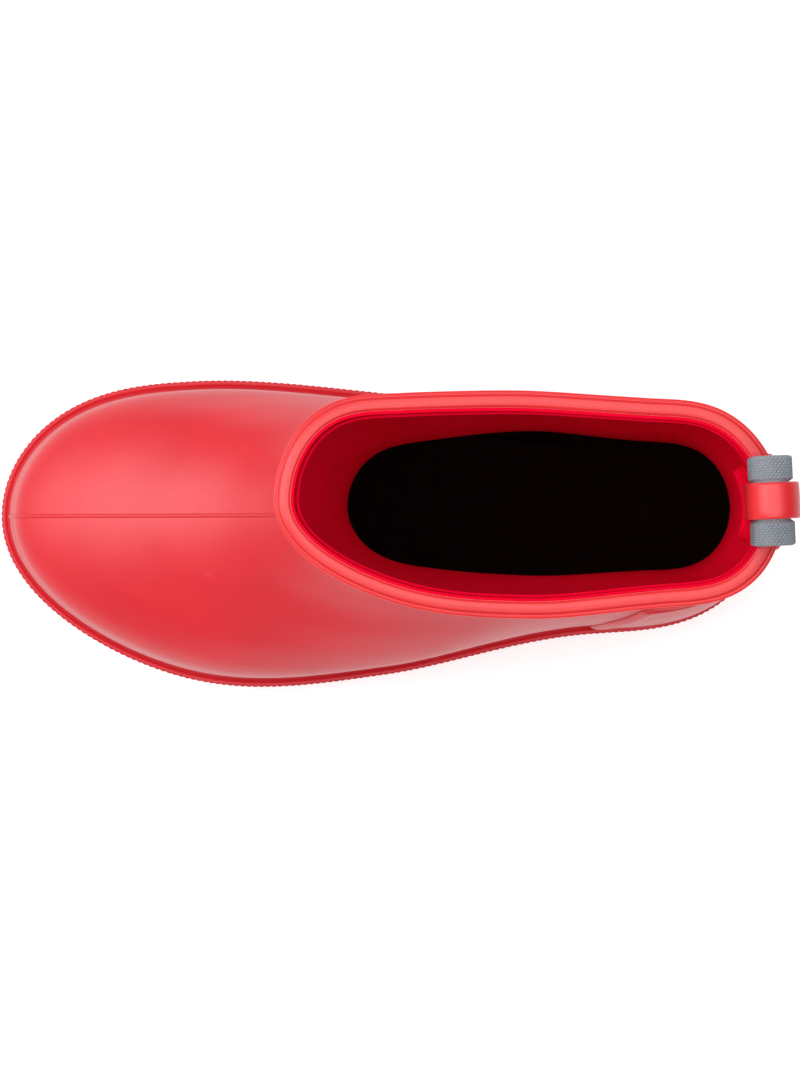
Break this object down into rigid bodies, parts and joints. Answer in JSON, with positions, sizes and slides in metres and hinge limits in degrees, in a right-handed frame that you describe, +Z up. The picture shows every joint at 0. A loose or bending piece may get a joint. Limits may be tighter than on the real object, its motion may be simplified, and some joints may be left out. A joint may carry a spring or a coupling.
{
  "type": "rubber rain boot",
  "caption": "Child's red rubber rain boot for the left foot, with knitted lining, ribbed welt, loose footbed and a grey pull loop at the back.",
  "frame": {"origin": "on the floor, under the middle of the boot's box", "axes": "+X towards the toe, +Y towards the outer side of the foot, +Z up"},
  "size_m": [0.2058, 0.0829, 0.1783],
  "materials": {
    "upper_rubber": "satin",
    "trim_rubber": "satin",
    "sole_rubber": "matte",
    "loop_rubber": "matte",
    "lining_knit": "matte",
    "foot_knit": "matte",
    "footbed_cloth": "matte",
    "footbed_foam": "matte",
    "fibre_board": "matte",
    "sponge": "matte"
  },
  "bodies": {
    "boot": {"outsole": "sole_rubber", "welt_band": "sole_rubber", "heel_filler": "sponge", "midsole": "sponge", "insole_board": "fibre_board", "upper_shell": "upper_rubber", "top_band": "trim_rubber", "heel_counter": "upper_rubber", "toe_puff": "fibre_board", "heel_stiffener": "fibre_board", "lining_leg": "lining_knit", "lining_foot": "foot_knit", "collar_tape": "lining_knit", "loop_leg_outer": "loop_rubber", "loop_leg_inner": "loop_rubber", "loop_patch_outer": "trim_rubber", "loop_patch_inner": "lining_knit"},
    "footbed": {"footbed_foam": "footbed_foam", "footbed_cover": "footbed_cloth"},
    "loop": {"loop_strap": "loop_rubber", "loop_band": "trim_rubber"}
  },
  "joints": [
    {"name": "footbed_lift", "type": "hinge", "parent": "boot", "child": "footbed", "pos_m": [0.09, -0.005, 0.0175], "axis": [0, 1, 0], "range_deg": [0, 4]},
    {"name": "loop_tip", "type": "hinge", "parent": "boot", "child": "loop", "pos_m": [-0.0927, -0.0081, 0.161], "axis": [0, 1, 0], "range_deg": [-20, 20], "stiffness_Nm_per_rad": 0.05}
  ]
}
